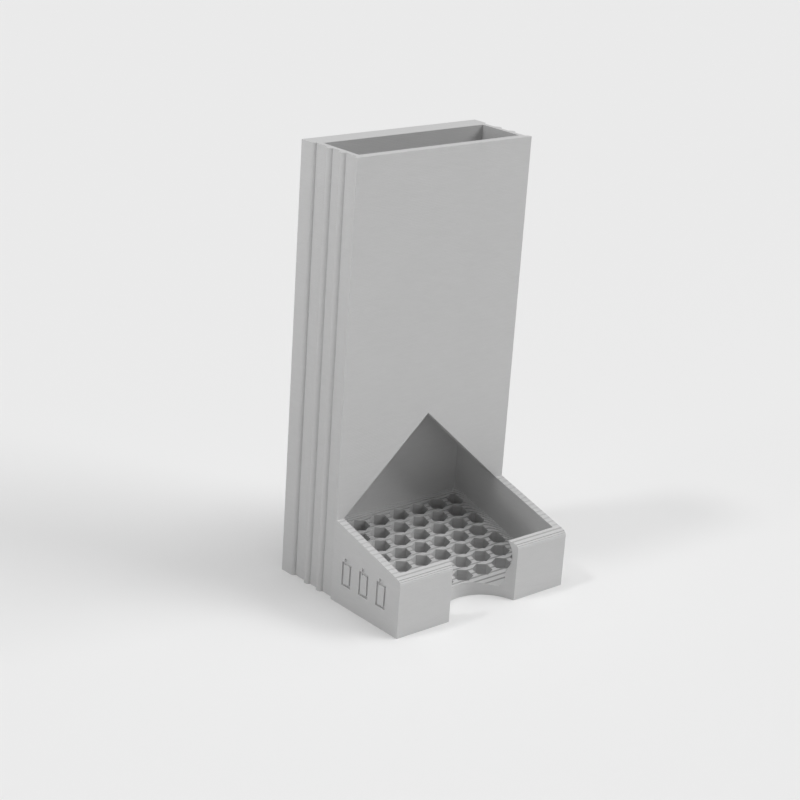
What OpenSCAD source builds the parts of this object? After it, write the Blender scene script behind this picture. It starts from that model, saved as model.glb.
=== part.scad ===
// Wall-mounted organizer for small battery cells, put together from printed panels.
// The cells lie across a tall shaft and drop onto a sloping honeycomb ramp. They roll
// out through a pointed mouth into a tray with a thumb notch in its front.
// The organizer hangs on a dovetail wall plate and lifts straight up off it.
// Millimetres. X runs across, +Y points to the wall and +Z up. The origin is on the
// surface that the organizer stands on, under the middle of its outline.

/* [Cells] */
// Length of the cells, which lie across the shaft
cell_length = 44.5; // [40:0.5:60]
// Diameter of the cells
cell_diameter = 10.5; // [9:0.5:16]
// Room around a cell in the shaft, along it and across it
cell_play = 1.5; // [0.5:0.1:3]

/* [Shaft] */
// Height of the shaft from the base to its open top
tower_height = 101.5; // [80:0.5:200]
// Thickness of the side walls over their ribs
side_wall = 2; // [1.6:0.1:3]
// Thickness of the front wall
front_wall = 2; // [1.6:0.1:4]
// Thickness of the back wall, which holds the dovetail slot
back_wall = 5; // [4.6:0.1:8]
// Depth of the step that locates the front and back panels between the sides
panel_step = 0.8; // [0.4:0.1:1.2]

/* [Side channels] */
// Number of upright channels in each side
channel_count = 3; // [1:1:5]
// Depth of the channels
channel_depth = 0.85; // [0.3:0.05:1]
// Width of the rounded ribs between the channels, at their feet
rib_width = 2; // [1:0.1:2.4]

/* [Tray] */
// How far the tray reaches in front of the shaft
tray_reach = 22.6; // [18:0.2:40]
// Height of the tray's cheeks where they leave the shaft
cheek_height = 19.6; // [16:0.1:30]
// Fall of the top of the tray towards the front, in degrees
rim_angle = 15; // [5:1:20]
// Thickness of the two lips across the front
lip_thickness = 2.5; // [2:0.1:4]
// Radius of the rounding along the top of the lips
lip_round = 1.5; // [0.8:0.1:2]
// Depth of the hollow across the back of the lips, which the first cell rests in
cradle_depth = 1.2; // [0.4:0.1:1.4]
// Height of the middle of that hollow above the base
cradle_height = 10.4; // [9:0.1:11]
// Rise of the mouth's point above the cheeks
mouth_rise = 20.7; // [8:0.1:30]
// Radius of the thumb notch
notch_radius = 10.1; // [6:0.1:14]
// Distance of the notch's centre in front of the lips
notch_offset = 2.1; // [0:0.1:4]

/* [Ramp] */
// Height of the ramp at the lips
ramp_low = 1.9; // [1.8:0.1:3]
// Slope of the ramp, in degrees
ramp_angle = 15.3; // [8:0.1:18]
// Radius of the hollow blend between the ramp and the walls around it
ramp_fillet = 2; // [1:0.1:4]
// Spacing of the honeycomb holes across the ramp
comb_pitch = 6; // [5:0.1:9]
// Width of a honeycomb hole between its side faces
comb_hole = 4.7; // [3:0.1:4.9]
// Depth of the honeycomb pattern as a share of a regular one
comb_squash = 0.75; // [0.6:0.05:1]
// Distance of the first row of holes from the back panel
comb_start = 3.05; // [2.5:0.05:5]
// Least distance of the last row of holes from the lips
comb_stop = 5.5; // [5:0.1:9]
// Least distance of a hole's centre from the side walls
comb_side = 1.5; // [1:0.1:4]
// Solid border left between the honeycomb and the side walls
comb_border = 1; // [0.5:0.1:3]

/* [Seams] */
// Depth of the tongues that join the ramp, cheeks and lips
tongue_depth = 0.8; // [0.4:0.1:1]
// Thickness of the tongues
tongue_height = 0.9; // [0.6:0.1:1.1]
// Height of the ramp's tongues above the base
tongue_base = 0.5; // [0.4:0.1:0.6]
// Room around a tongue in its groove
seam_play = 0.1; // [0.05:0.05:0.2]

/* [Engraved marks] */
// Number of battery outlines engraved on the left cheek
mark_count = 3; // [1:1:3]
// Height of a battery outline
mark_height = 6.7; // [4:0.1:8]
// Width of a battery outline
mark_width = 3.2; // [2:0.1:4]
// Spacing of the outlines
mark_pitch = 6; // [4.5:0.1:7]
// Distance of the first outline's middle from the shaft's front
mark_start = 4.4; // [3:0.1:6]
// Height of the outlines' feet above the base
mark_base = 5; // [3:0.1:6]
// Width of the engraved line
mark_line = 0.6; // [0.4:0.1:0.8]
// Depth of the engraving
mark_depth = 0.4; // [0.2:0.05:0.6]

/* [Wall plate] */
// Height of the wall plate
plate_height = 70; // [50:1:75]
// Width of the wall plate on the wall
plate_width = 24; // [18:0.5:30]
// Thickness of the wall plate
plate_thickness = 3; // [2.6:0.1:3.4]
// Slope of the dovetail's flanks from straight, in degrees
dovetail_angle = 30; // [15:1:35]
// Sliding room between the wall plate and its slot
slide_play = 0.2; // [0.1:0.05:0.4]
// Solid height left above the slot
slot_roof = 12; // [6:0.5:20]
// Spacing of the two screw holes
screw_spacing = 50; // [30:1:55]
// Diameter of the screw holes
screw_hole = 4; // [3:0.1:4.5]
// Diameter of the countersinks
screw_head = 7.6; // [6:0.1:8.2]
// Cut across the plate's upper corners, which leads it into the slot
plate_lead = 3; // [1:0.5:5]

/* [Hidden] */

// Faces that round features show in a preview
$fn = 96;
// How far a cut runs past the face that it opens
over = 1;
// The thinnest edge that a hollow blend keeps where it runs out on a wall
feather = 0.15;
grey = [0.72, 0.72, 0.72];
pale_grey = [0.8, 0.8, 0.8];
deep_grey = [0.6, 0.6, 0.6];

inner_half = (cell_length + cell_play) / 2;
outer_half = inner_half + side_wall;
skin_half = outer_half - channel_depth;

// Distances in front of the wall, from the back of the organizer to its front
shaft_back = back_wall;
shaft_front = back_wall + cell_diameter + cell_play;
tower_depth = shaft_front + front_wall;
side_back = back_wall - panel_step;
side_front = shaft_front + panel_step;
depth = tower_depth + tray_reach;
lip_back = depth - lip_thickness;
notch_centre = depth + notch_offset;

// Middles of the ribs, and the radius of their rounding
rib_pitch = (side_front - side_back) / channel_count;
rib_round = (rib_width ^ 2 / 4 + channel_depth ^ 2) / (2 * channel_depth);

// Rounding along the top of the lips
round_centre = depth - lip_round;
round_height = rim_height(round_centre) - lip_round / cos(rim_angle);

// Hollow across the back of the lips, with as much room for a cell as the shaft has
cradle_round = (cell_diameter + cell_play) / 2;
cradle_centre = lip_back + cradle_depth - cradle_round;

// Ramp and its hollow blends at the back wall and at the lips
back_bend = shaft_back + ramp_fillet;
front_bend = lip_back - ramp_fillet;
back_bend_height = ramp_height(back_bend) + ramp_fillet / cos(ramp_angle);
front_bend_height = ramp_height(front_bend) + ramp_fillet / cos(ramp_angle);
// How far below the centre of its rounding a blend has thinned to its feather edge
blend_rest = sqrt(ramp_fillet ^ 2 - (ramp_fillet - feather) ^ 2);
ramp_top = back_bend_height - blend_rest;

// Honeycomb
comb_radius = comb_hole / sqrt(3);
comb_row = comb_pitch * sqrt(3) / 2 * comb_squash;
comb_first = shaft_back + comb_start;
comb_rows = floor((lip_back - comb_stop - comb_first) / comb_row) + 1;
comb_half_columns = floor((inner_half - comb_side) / comb_pitch) + 1;

// Wall plate and its slot
slot_top = tower_height - slot_roof;
slot_depth = plate_thickness + slide_play;
plate_top = slot_top - slide_play;
plate_base = plate_top - plate_height;
plate_middle = plate_base + plate_height / 2;
flank_play = slide_play / cos(dovetail_angle);

// Height of the top of the tray
function rim_height(d) = cheek_height - (d - tower_depth) * tan(rim_angle);

function ramp_height(d) = ramp_low + (lip_back - d) * tan(ramp_angle);

// Puts a piece, drawn with the wall at zero and its front towards -Y, in the frame
module from_wall() {
    translate([0, depth / 2, 0]) children();
}

// A block from x1 to x2, from d1 to d2 in front of the wall, and from z1 to z2
module block(x1, x2, d1, d2, z1, z2) {
    translate([x1, -d2, z1]) cube([x2 - x1, d2 - d1, z2 - z1]);
}

// An outline of [distance from the wall, height] points, drawn from x1 to x2
module side_profile(points, x1, x2) {
    across(x1, x2) polygon([for (p = points) [-p[0], p[1]]]);
}

// A flat shape in [-distance from the wall, height], drawn from x1 to x2
module across(x1, x2) {
    translate([x1, 0, 0])
        rotate([90, 0, 90])
            linear_extrude(x2 - x1) children();
}

// An outline of [x, height] points, drawn from d1 to d2 in front of the wall
module front_profile(points, d1, d2) {
    translate([0, -d1, 0])
        rotate([90, 0, 0])
            linear_extrude(d2 - d1)
                polygon(points);
}

module both_sides() {
    children();
    mirror([1, 0, 0]) children();
}

module notch() {
    translate([0, -notch_centre, -over])
        cylinder(r = notch_radius, h = cheek_height + 2 * over);
}

// Plan of the dovetail, from the wall to a depth t, grown by a play on each flank
module dovetail(t, play, z1, z2) {
    back_half = plate_width / 2 + play;
    front_half = back_half + t * tan(dovetail_angle);
    translate([0, 0, z1])
        linear_extrude(z2 - z1)
            polygon([[-back_half, 0], [back_half, 0], [front_half, -t], [-front_half, -t]]);
}

module wall_plate() {
    lead = plate_lead;
    wide = plate_width / 2 + plate_thickness * tan(dovetail_angle);
    color(deep_grey) from_wall() {
        difference() {
            dovetail(plate_thickness, 0, plate_base, plate_top);
            both_sides()
                front_profile(
                    [[wide - lead, plate_top], [wide + over, plate_top - lead - over],
                     [wide + over, plate_top + over], [wide - lead, plate_top + over]],
                    -over, plate_thickness + over
                );
            for (side = [-1, 1]) {
                translate([0, over, plate_middle + side * screw_spacing / 2])
                    rotate([90, 0, 0])
                        cylinder(d = screw_hole, h = plate_thickness + 2 * over);
                countersink(plate_middle + side * screw_spacing / 2);
            }
        }
    }
}

// A right-angled countersink that opens on the side of the plate away from the wall
module countersink(z) {
    sink = (screw_head - screw_hole) / 2;
    translate([0, -(plate_thickness - sink), z])
        rotate([90, 0, 0])
            cylinder(d1 = screw_hole, d2 = screw_head + 2 * over, h = sink + over);
}

module back_panel() {
    color(grey) from_wall() {
        difference() {
            union() {
                block(-outer_half, outer_half, 0, side_back, 0, tower_height);
                block(-inner_half, inner_half, side_back, shaft_back, 0, tower_height);
            }
            dovetail_slot();
            both_sides() ramp_back_tongue(seam_play);
            channel_edge(side_back, 1);
        }
    }
}

// The slot runs past the panel's back and bottom, and ends under its roof
module dovetail_slot() {
    mouth_half = plate_width / 2 + flank_play;
    dovetail(slot_depth, flank_play, -over, slot_top);
    block(-mouth_half, mouth_half, -over, 0, -over, slot_top);
}

module side_panel() {
    color(grey) from_wall() {
        block(inner_half, skin_half, side_back, side_front, 0, tower_height);
        for (i = [1:1:channel_count - 1])
            rib(side_back + i * rib_pitch);
    }
}

// Upright rib with a round outer face, which starts in the middle of the side's skin
module rib(middle) {
    intersection() {
        block((inner_half + skin_half) / 2, outer_half + over,
              middle - rib_pitch / 2, middle + rib_pitch / 2, 0, tower_height);
        translate([outer_half - rib_round, -middle, 0])
            cylinder(r = rib_round, h = tower_height);
    }
}

// Takes the sharp outer edge off a panel beside a channel, down to a quarter round.
// The way is 1 where the panel lies behind the channel and -1 where it lies in front.
module channel_edge(d, way) {
    both_sides()
        translate([skin_half, -(d - way * channel_depth), -over])
            linear_extrude(tower_height + 2 * over)
                scale([1, -way]) edge_waste();
}

module edge_waste() {
    difference() {
        square(channel_depth + over);
        circle(channel_depth);
    }
}

module right_side() {
    side_panel();
}

module left_side() {
    mirror([1, 0, 0]) side_panel();
}

module front_panel() {
    peak = cheek_height + mouth_rise;
    opening = [[inner_half, cheek_height], [0, peak], [-inner_half, cheek_height]];
    skin = [[-outer_half, cheek_height], [-outer_half, tower_height],
            [outer_half, tower_height], [outer_half, cheek_height]];
    step = [[-inner_half, tower_height], [inner_half, tower_height]];
    color(grey) from_wall() {
        difference() {
            front_profile(concat(skin, opening), side_front, tower_depth);
            channel_edge(side_front, -1);
        }
        front_profile(concat(step, opening), shaft_front, side_front);
    }
}

// Rear end of the cheek under the front panel, then its falling top
module cheek_body() {
    outline = [[side_front, 0], [side_front, cheek_height], [tower_depth, cheek_height],
               [lip_back, rim_height(lip_back)], [lip_back, 0]];
    difference() {
        side_profile(outline, inner_half, outer_half);
        channel_edge(side_front, -1);
    }
    cheek_tenon(0);
}

// Tenon at the front end of a cheek, which enters the lip
module cheek_tenon(play) {
    middle = inner_half + side_wall / 2;
    half = tongue_height / 2 + play;
    low = tongue_base + tongue_height + tongue_depth;
    high = rim_height(depth) - lip_round - tongue_depth;
    block(middle - half, middle + half, lip_back, lip_back + tongue_depth + play, low - play, high + play);
}

// Tongue along a side of the ramp, which enters the cheek
module ramp_side_tongue(play) {
    block(inner_half, inner_half + tongue_depth + play,
          tower_depth - play, front_bend + play,
          tongue_base - play, tongue_base + tongue_height + play);
}

// Tongue at the back of the ramp, beside the dovetail slot
module ramp_back_tongue(play) {
    slot_half = plate_width / 2 + flank_play + slot_depth * tan(dovetail_angle);
    block(slot_half + tongue_depth - play, inner_half - tongue_depth + play,
          shaft_back - tongue_depth - play, shaft_back,
          tongue_base - play, tongue_base + tongue_height + play);
}

// Tongue at the front of the ramp, beside the notch
module ramp_front_tongue(play) {
    block(notch_radius + tongue_depth - play, inner_half - tongue_depth + play,
          lip_back, lip_back + tongue_depth + play,
          tongue_base - play, tongue_base + tongue_height + play);
}

module right_cheek() {
    color(grey) from_wall() {
        difference() {
            cheek_body();
            ramp_side_tongue(seam_play);
        }
    }
}

module left_cheek() {
    color(grey) from_wall() {
        difference() {
            mirror([1, 0, 0])
                difference() {
                    cheek_body();
                    ramp_side_tongue(seam_play);
                }
            for (i = [0:1:mark_count - 1])
                battery_outline(tower_depth + mark_start + i * mark_pitch);
        }
    }
}

// Outline of an upright battery cell, cut into the left cheek's outer face
module battery_outline(middle) {
    nub_half = mark_width / 4;
    nub_height = mark_line * 1.5;
    body_top = mark_base + mark_height - nub_height;
    face = -outer_half + mark_depth;
    difference() {
        block(-outer_half - over, face, middle - mark_width / 2, middle + mark_width / 2,
              mark_base, body_top);
        block(-outer_half - 2 * over, face + over,
              middle - mark_width / 2 + mark_line, middle + mark_width / 2 - mark_line,
              mark_base + mark_line, body_top - mark_line);
    }
    block(-outer_half - over, face, middle - nub_half, middle + nub_half,
          body_top - mark_line / 2, body_top + nub_height);
}

// Upright lip whose top falls with the cheeks and ends in a rounding, with a hollow for
// the first cell across its back
module lip() {
    outline = [[lip_back, 0], [depth, 0], [depth, rim_height(depth)], [lip_back, rim_height(lip_back)]];
    color(pale_grey) from_wall() {
        difference() {
            side_profile(outline, 0, outer_half);
            across(-over, outer_half + over)
                translate([-round_centre, round_height]) outside_rounding();
            across(-over, inner_half)
                translate([-cradle_centre, cradle_height]) circle(cradle_round);
            notch();
            cheek_tenon(seam_play);
            ramp_front_tongue(seam_play);
        }
    }
}

// What lies outside a disc, between straight forwards and square to the top of the lip
module outside_rounding() {
    reach = 2 * lip_round;
    difference() {
        polygon([[0, 0], [-reach, 0], [-reach, reach],
                 [-reach * sin(rim_angle), reach * cos(rim_angle)]]);
        circle(lip_round);
    }
}

module right_lip() {
    lip();
}

module left_lip() {
    mirror([1, 0, 0]) lip();
}

// Space above the ramp, with a hollow blend along the back wall and along the lips
module hollow_front_to_back() {
    foot = ramp_fillet * sin(ramp_angle);
    high = back_bend_height + over;
    slope = [[back_bend - foot, ramp_height(back_bend - foot)],
             [front_bend - foot, ramp_height(front_bend - foot)],
             [front_bend, front_bend_height], [front_bend, high], [back_bend, high],
             [back_bend, back_bend_height]];
    across(-outer_half, outer_half) {
        polygon([for (p = slope) [-p[0], p[1]]]);
        translate([-back_bend, back_bend_height]) circle(ramp_fillet);
        translate([-front_bend, front_bend_height]) circle(ramp_fillet);
        translate([-lip_back - over, front_bend_height - blend_rest])
            square([ramp_fillet + over, high]);
    }
}

// Space above the ramp, with a hollow blend along each side wall
module hollow_side_to_side() {
    blend = inner_half - ramp_fillet;
    reach = depth / cos(ramp_angle);
    translate([0, 0, ramp_height(0)])
        rotate([90 + ramp_angle, 0, 0])
            linear_extrude(reach) {
                translate([-blend, 0]) square([2 * blend, depth]);
                both_sides() translate([blend, ramp_fillet]) circle(ramp_fillet);
                translate([-inner_half - over, ramp_fillet - blend_rest])
                    square([2 * (inner_half + over), depth]);
            }
}

// Through holes in staggered rows, each shortened front to back
module honeycomb() {
    border = inner_half - comb_border;
    intersection() {
        block(-border, border, shaft_back, lip_back, -over, ramp_top + over);
        translate([0, 0, -over])
            linear_extrude(ramp_top + 2 * over)
                for (row = [0:1:comb_rows - 1])
                    translate([0, -comb_first - row * comb_row])
                        comb_holes(row % 2 == 0 ? 0.5 : 0);
    }
}

// One row of holes, moved sideways by a share of their spacing
module comb_holes(shift) {
    for (column = [-comb_half_columns:1:comb_half_columns]) {
        x = (column + shift) * comb_pitch;
        if (abs(x) <= inner_half - comb_side)
            translate([x, 0])
                scale([1, comb_squash])
                    rotate(30) circle(r = comb_radius, $fn = 6);
    }
}

// A block with its top hollowed out down to the slope and the blends around it
module ramp_body() {
    difference() {
        block(-inner_half, inner_half, shaft_back, lip_back, 0, ramp_top);
        intersection() {
            hollow_front_to_back();
            hollow_side_to_side();
        }
    }
}

module honeycomb_ramp() {
    color(pale_grey) from_wall() {
        difference() {
            ramp_body();
            honeycomb();
            notch();
        }
        both_sides() {
            ramp_side_tongue(0);
            ramp_back_tongue(0);
            ramp_front_tongue(0);
        }
    }
}

wall_plate();
back_panel();
left_side();
right_side();
front_panel();
left_cheek();
right_cheek();
left_lip();
right_lip();
honeycomb_ramp();
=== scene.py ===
from math import cos, pi, radians, sin

import bpy
from mathutils import Matrix, Vector

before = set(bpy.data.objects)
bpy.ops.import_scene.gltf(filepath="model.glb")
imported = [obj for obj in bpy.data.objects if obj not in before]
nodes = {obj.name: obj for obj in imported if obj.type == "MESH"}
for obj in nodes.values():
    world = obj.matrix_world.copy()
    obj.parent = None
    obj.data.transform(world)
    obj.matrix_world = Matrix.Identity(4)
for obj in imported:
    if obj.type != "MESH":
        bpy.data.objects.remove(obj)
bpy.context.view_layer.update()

bpy.ops.object.select_all(action="DESELECT")

scene = bpy.context.scene
scene.view_settings.view_transform = "Standard"

# Wall plate
# The real piece is a flat dovetail plate, printed in grey plastic on its back, so its
# layers are parallel to the wall. Two countersunk screws hold it on the wall.
layer_height = 0.00036
nozzle_width = 0.00045
# How far a face's normal points along the build direction, from 0 on an upright face to
# 1 on a level one: from where it counts as level, and where risers show in full or fade
level_from = 0.98
risers_full_at = 0.96
risers_gone_at = 0.56
# Steps in the noise from one bead to the next, so that no two beads swell alike
bead_shuffle = (3.7, 5.3, 1.9)
# How much of the tone changes along the beads, and how much in patches
streak_part = 0.6
patch_part = 0.4
# A bead counts as the groove beside it until it has risen to this share of its crown
groove_part = 0.25


def printed_beads_group():
    """Relief and tone of a print: beads on upright faces, steps on slopes, drawn lines on level faces."""
    group = bpy.data.node_groups.new("printed_beads", "ShaderNodeTree")
    sockets = group.interface
    for name, value in (
        ("Layer Height", layer_height),
        ("Line Width", nozzle_width),
        ("Bead Relief", 0.00002),
        ("Step Relief", 1.0),
        ("Tread Share", 0.7),
        ("Streak Length", 0.004),
        ("Streak Relief", 0.000016),
        ("Mottle Scale", 60.0),
    ):
        socket = sockets.new_socket(name, in_out="INPUT", socket_type="NodeSocketFloat")
        socket.default_value = value
    for name, value in (("Build Direction", (0, 0, 1)), ("Across Lines", (0, 1, 0))):
        socket = sockets.new_socket(name, in_out="INPUT", socket_type="NodeSocketVector")
        socket.default_value = value
    sockets.new_socket("Relief", in_out="OUTPUT", socket_type="NodeSocketFloat")
    sockets.new_socket("Tone", in_out="OUTPUT", socket_type="NodeSocketFloat")
    sockets.new_socket("Groove", in_out="OUTPUT", socket_type="NodeSocketFloat")
    sockets.new_socket("Riser", in_out="OUTPUT", socket_type="NodeSocketFloat")

    made = group.nodes
    links = group.links
    given = made.new("NodeGroupInput")
    result = made.new("NodeGroupOutput")
    place = made.new("ShaderNodeTexCoord").outputs["Object"]
    facing = made.new("ShaderNodeNewGeometry").outputs["True Normal"]

    def math(kind, *values):
        node = made.new("ShaderNodeMath")
        node.operation = kind
        for socket, value in zip(node.inputs, values):
            if isinstance(value, (int, float)):
                socket.default_value = value
            else:
                links.new(value, socket)
        return node.outputs[0]

    def along(vector, direction):
        node = made.new("ShaderNodeVectorMath")
        node.operation = "DOT_PRODUCT"
        links.new(vector, node.inputs[0])
        links.new(direction, node.inputs[1])
        return node.outputs["Value"]

    def noise(vector, scale, detail):
        node = made.new("ShaderNodeTexNoise")
        links.new(vector, node.inputs["Vector"])
        node.inputs["Detail"].default_value = detail
        if isinstance(scale, (int, float)):
            node.inputs["Scale"].default_value = scale
        else:
            links.new(scale, node.inputs["Scale"])
        return node.outputs[0]

    def beads(distance, width):
        """Number of the bead at a distance, and its rounding, from 0 in the groove to 1 on its crown."""
        turns = math("DIVIDE", distance, width)
        number = math("FLOOR", turns)
        part = math("SUBTRACT", math("MULTIPLY", math("FRACT", turns), 2.0), 1.0)
        crown = math("SUBTRACT", 1.0, math("MULTIPLY", part, part))
        return number, crown

    # On a level face the beads lie side by side, and elsewhere one on another
    up = math("ABSOLUTE", along(facing, given.outputs["Build Direction"]))
    level = math("GREATER_THAN", up, level_from)
    slope = math("MULTIPLY", up, math("SUBTRACT", 1.0, level))
    height = along(place, given.outputs["Build Direction"])
    layer, layer_crown = beads(height, given.outputs["Layer Height"])
    across_lines = along(place, given.outputs["Across Lines"])
    line, line_crown = beads(across_lines, given.outputs["Line Width"])

    def chosen(upright, flat):
        node = made.new("ShaderNodeMix")
        links.new(level, node.inputs["Factor"])
        links.new(upright, node.inputs[2])
        links.new(flat, node.inputs[3])
        return node.outputs[0]

    number = chosen(layer, line)
    crown = chosen(layer_crown, line_crown)

    # On a slope each layer shows as a level tread and a short riser
    part = math("FRACT", math("DIVIDE", height, given.outputs["Layer Height"]))
    tread = given.outputs["Tread Share"]
    on_tread = math("DIVIDE", part, tread)
    on_riser = math("DIVIDE", math("SUBTRACT", 1.0, part), math("SUBTRACT", 1.0, tread))
    step = math("MINIMUM", on_tread, on_riser)
    step_height = math("MULTIPLY", given.outputs["Layer Height"], given.outputs["Step Relief"])
    step_depth = math("MULTIPLY", math("MULTIPLY", step, step_height), math("MULTIPLY", slope, tread))
    past_gone = math("SUBTRACT", up, risers_gone_at)
    gentle = math("MULTIPLY", past_gone, 1 / (risers_full_at - risers_gone_at))
    gentle = math("MINIMUM", math("MAXIMUM", gentle, 0.0), 1.0)
    # Mask for the painted shade on the risers of the steps, fading out as a face turns upright
    riser = math("MULTIPLY", math("GREATER_THAN", part, tread), math("MULTIPLY", slope, gentle))

    # Each bead swells and thins along its length
    stretched = made.new("ShaderNodeVectorMath")
    stretched.operation = "SCALE"
    links.new(place, stretched.inputs[0])
    links.new(math("DIVIDE", 1.0, given.outputs["Streak Length"]), stretched.inputs["Scale"])
    split = made.new("ShaderNodeSeparateXYZ")
    links.new(stretched.outputs[0], split.inputs[0])
    shuffled = made.new("ShaderNodeCombineXYZ")
    for axis in (0, 1):
        moved = math("ADD", split.outputs[axis], math("MULTIPLY", number, bead_shuffle[axis]))
        links.new(moved, shuffled.inputs[axis])
    links.new(math("MULTIPLY", number, bead_shuffle[2]), shuffled.inputs[2])
    streak = math("SUBTRACT", noise(shuffled.outputs[0], 1.0, 2.0), 0.5)
    mottle = math("SUBTRACT", noise(place, given.outputs["Mottle Scale"], 3.0), 0.5)

    relief = math(
        "ADD",
        math("MULTIPLY", crown, given.outputs["Bead Relief"]),
        math("MULTIPLY", streak, given.outputs["Streak Relief"]),
    )
    tone = math("ADD", math("MULTIPLY", streak, streak_part), math("MULTIPLY", mottle, patch_part))
    # Mask for the painted shade in the grooves, from 1 at the bottom of a groove to 0 up the bead
    groove = math("SUBTRACT", 1.0, math("MINIMUM", math("MULTIPLY", crown, 1 / groove_part), 1.0))
    links.new(math("SUBTRACT", relief, step_depth), result.inputs["Relief"])
    links.new(tone, result.inputs["Tone"])
    links.new(groove, result.inputs["Groove"])
    links.new(riser, result.inputs["Riser"])
    return group


printed_beads = printed_beads_group()
# The tone runs over this far each way, and takes the plastic's brightness and roughness
# between these ends
tone_reach = 0.25
brightness = (0.975, 1.025)
roughness_ends = (0.66, 0.54)
# Painted shade in the grooves between beads: the share of the brightness that is left there
groove_shadow = 0.95
plastic_ior = 1.46
plastic_specular = 0.35


def tone_range(material, tone, ends):
    """The print's tone, brought between two ends."""
    node = material.node_tree.nodes.new("ShaderNodeMapRange")
    node.inputs["From Min"].default_value = -tone_reach
    node.inputs["From Max"].default_value = tone_reach
    node.inputs["To Min"].default_value = ends[0]
    node.inputs["To Max"].default_value = ends[1]
    material.node_tree.links.new(tone, node.inputs["Value"])
    return node.outputs["Result"]


def printed_plastic(name, grey, build=(0, 0, 1), across=(0, 1, 0), riser_shadow=0.72):
    """Matt printed plastic of one grey, with its beads along the given directions, and painted shade in
    its grooves and on the risers of its steps.
    """
    material = bpy.data.materials.new(name)
    material.use_nodes = True
    made = material.node_tree.nodes
    links = material.node_tree.links
    shader = made["Principled BSDF"]
    shader.inputs["IOR"].default_value = plastic_ior
    shader.inputs["Specular IOR Level"].default_value = plastic_specular

    print_lines = made.new("ShaderNodeGroup")
    print_lines.node_tree = printed_beads
    print_lines.inputs["Build Direction"].default_value = build
    print_lines.inputs["Across Lines"].default_value = across

    tinted = made.new("ShaderNodeVectorMath")
    tinted.operation = "SCALE"
    tinted.inputs[0].default_value = grey
    shade = tone_range(material, print_lines.outputs["Tone"], brightness)
    links.new(shade, tinted.inputs["Scale"])

    coloured = tinted.outputs[0]
    # Painted shade: the colour is darkened in the grooves between beads and on the risers of steps
    for mask, shadow in (("Groove", groove_shadow), ("Riser", riser_shadow)):
        darkened = made.new("ShaderNodeMix")
        darkened.data_type = "RGBA"
        darkened.blend_type = "MULTIPLY"
        darkened.inputs["B"].default_value = (shadow, shadow, shadow, 1)
        links.new(print_lines.outputs[mask], darkened.inputs["Factor"])
        links.new(coloured, darkened.inputs["A"])
        coloured = darkened.outputs["Result"]
    links.new(coloured, shader.inputs["Base Color"])

    roughness = tone_range(material, print_lines.outputs["Tone"], roughness_ends)
    links.new(roughness, shader.inputs["Roughness"])

    bump = made.new("ShaderNodeBump")
    bump.inputs["Strength"].default_value = 1.0
    bump.inputs["Distance"].default_value = 1.0
    links.new(print_lines.outputs["Relief"], bump.inputs["Height"])
    links.new(bump.outputs["Normal"], shader.inputs["Normal"])
    return material


def finish_in(material, *names):
    """Gives CAD nodes a material in their own slots."""
    for name in names:
        for slot in nodes[name].material_slots:
            slot.material = material


plate_grey = (0.50, 0.50, 0.505)
# The plate's lines are drawn at 45 degrees across it
plate_across = (0.7071, 0, 0.7071)
plate_plastic = printed_plastic("plate_plastic", plate_grey, build=(0, 1, 0), across=plate_across)
finish_in(plate_plastic, "wall_plate")

# Back and front panels
# Both are upright walls of the shaft, printed standing in the same pale grey plastic.
# The lines of their top edges run from side to side.
body_grey = (0.60, 0.60, 0.60)
panel_plastic = printed_plastic("panel_plastic", body_grey, across=(0, 1, 0))
finish_in(panel_plastic, "back_panel", "front_panel")

# Sides of the shaft
# Each side is a thin upright wall with two rounded ribs that leave three channels. It
# is printed standing, and the lines of its top edge run from front to back.
side_plastic = printed_plastic("side_plastic", body_grey, across=(1, 0, 0))
finish_in(side_plastic, "left_side", "right_side")

# Cheeks of the tray
# The cheeks are low walls whose tops fall forwards in steps of one layer. Battery
# outlines are engraved in the left one.
# The risers of the cheeks' steps get lighter painted shade than elsewhere
cheek_plastic = printed_plastic("cheek_plastic", body_grey, across=(1, 0, 0), riser_shadow=0.86)
finish_in(cheek_plastic, "left_cheek", "right_cheek")

# Lips of the tray
# The two lips close the front of the tray on either side of the thumb notch. Their
# top edges are rounded over in steps of one layer, and a shallow hollow across their
# backs holds the first cell.
lip_plastic = printed_plastic("lip_plastic", body_grey, across=(0, 1, 0))
finish_in(lip_plastic, "left_lip", "right_lip")

# Honeycomb ramp
# The ramp is the floor of the shaft and the tray. It is printed level, so its slope
# and its hollow blends are steps, and honeycomb holes run down through it.
# The risers of the ramp's steps get darker painted shade than elsewhere
ramp_plastic = printed_plastic("ramp_plastic", body_grey, across=(0, 1, 0), riser_shadow=0.62)
finish_in(ramp_plastic, "honeycomb_ramp")

# Floor
# A plain pale floor that reaches past the horizon.
floor_grey = (0.84, 0.84, 0.84)
floor_half = 8.0

bpy.ops.mesh.primitive_plane_add(size=2 * floor_half, location=(0, 0, 0))
floor = bpy.context.object
floor.name = "floor"

floor_paint = bpy.data.materials.new("floor_paint")
floor_paint.use_nodes = True
made = floor_paint.node_tree.nodes
made.remove(made["Principled BSDF"])
matt = made.new("ShaderNodeBsdfDiffuse")
matt.inputs["Color"].default_value = (*floor_grey, 1)
floor_paint.node_tree.links.new(matt.outputs[0], made["Material Output"].inputs["Surface"])
floor.data.materials.append(floor_paint)

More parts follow.
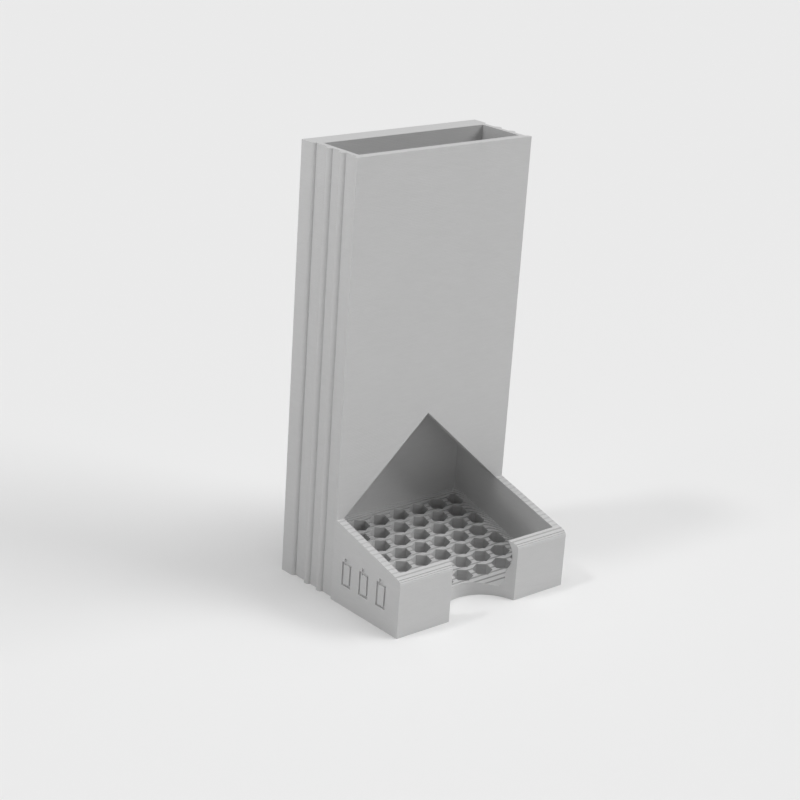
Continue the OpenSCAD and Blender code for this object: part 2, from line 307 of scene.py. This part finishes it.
# Room light
# An even white room gives part of the light. The camera sees it in the tone of the lit
# floor, so there is no horizon.
room_light = 0.20
horizon_grey = (0.831, 0.831, 0.831)
room = bpy.data.worlds.new("room")
scene.world = room
room.use_nodes = True
made = room.node_tree.nodes
links = room.node_tree.links
glow = made["Background"]
glow.inputs["Color"].default_value = (1, 1, 1, 1)
glow.inputs["Strength"].default_value = room_light
backdrop = made.new("ShaderNodeBackground")
backdrop.inputs["Color"].default_value = (*horizon_grey, 1)
backdrop.inputs["Strength"].default_value = 1.0
rays = made.new("ShaderNodeLightPath")
either = made.new("ShaderNodeMixShader")
links.new(rays.outputs["Is Camera Ray"], either.inputs["Fac"])
links.new(glow.outputs[0], either.inputs[1])
links.new(backdrop.outputs[0], either.inputs[2])
links.new(either.outputs[0], made["World Output"].inputs["Surface"])


# Lamps
# Far lamps, most of them wide and soft: one overhead, two at the front right and one at
# the left. Each one's share is what it adds to the light on the floor, beside the
# room's.
def far_lamp(name, towards, elevation, spread, share):
    """A far lamp that shines along a level direction, from an elevation above the floor."""
    lamp = bpy.data.lights.new(name, "SUN")
    lamp.angle = radians(spread)
    lamp.energy = share * pi / sin(radians(elevation))
    holder = bpy.data.objects.new(name, lamp)
    scene.collection.objects.link(holder)
    level = Vector((towards[0], towards[1], 0)).normalized()
    drop = Vector((0, 0, -1)) * sin(radians(elevation))
    forward = level * cos(radians(elevation))
    holder.rotation_euler = (forward + drop).to_track_quat("-Z", "Y").to_euler()
    holder.location = -(forward + drop)


far_lamp("top_lamp", (0, 1), elevation=88, spread=50, share=0.43)
far_lamp("front_lamp", (-0.71, 0.71), elevation=33, spread=30, share=0.168)
far_lamp("right_lamp", (-0.94, 0.34), elevation=45, spread=20, share=0.078)
far_lamp("left_lamp", (0.964, -0.265), elevation=54, spread=8, share=0.105)

# Low lamp
# A spot at the left, not much higher than the organizer. It lights the upper part of
# the left side and fades towards the floor.
low_place = Vector((-1.2, 0, 0.20))
low_target = Vector((-0.025, 0, 0.13))
low_watts = 16.0
low_radius = 0.10
low_spread = 13
low_lamp = bpy.data.lights.new("low_lamp", "SPOT")
low_lamp.energy = low_watts
low_lamp.shadow_soft_size = low_radius
low_lamp.spot_size = radians(low_spread)
low_lamp.spot_blend = 1.0
low_holder = bpy.data.objects.new("low_lamp", low_lamp)
scene.collection.objects.link(low_holder)
low_holder.location = low_place
low_holder.rotation_euler = (low_target - low_place).to_track_quat("-Z", "Y").to_euler()
low_holder.visible_camera = False

# Camera
# It stands in front and to the left of the organizer, a little above it, as in the
# photograph, and is turned slightly about its own line of sight.
sensor_width_mm = 36
focal_length_mm = 85.22
heading = 41.30
downward = 20.04
roll = 3.86
camera_place = (-0.26991, -0.29543, 0.18932)
nearest_seen = 0.01
farthest_seen = 50

lens = bpy.data.cameras.new("camera")
lens.sensor_width = sensor_width_mm
lens.lens = focal_length_mm
lens.clip_start = nearest_seen
lens.clip_end = farthest_seen
camera = bpy.data.objects.new("camera", lens)
scene.collection.objects.link(camera)
camera.location = camera_place
camera.rotation_euler = (
    Matrix.Rotation(radians(-heading), 3, "Z")
    @ Matrix.Rotation(radians(90 - downward), 3, "X")
    @ Matrix.Rotation(radians(roll), 3, "Z")
).to_euler()
scene.camera = camera
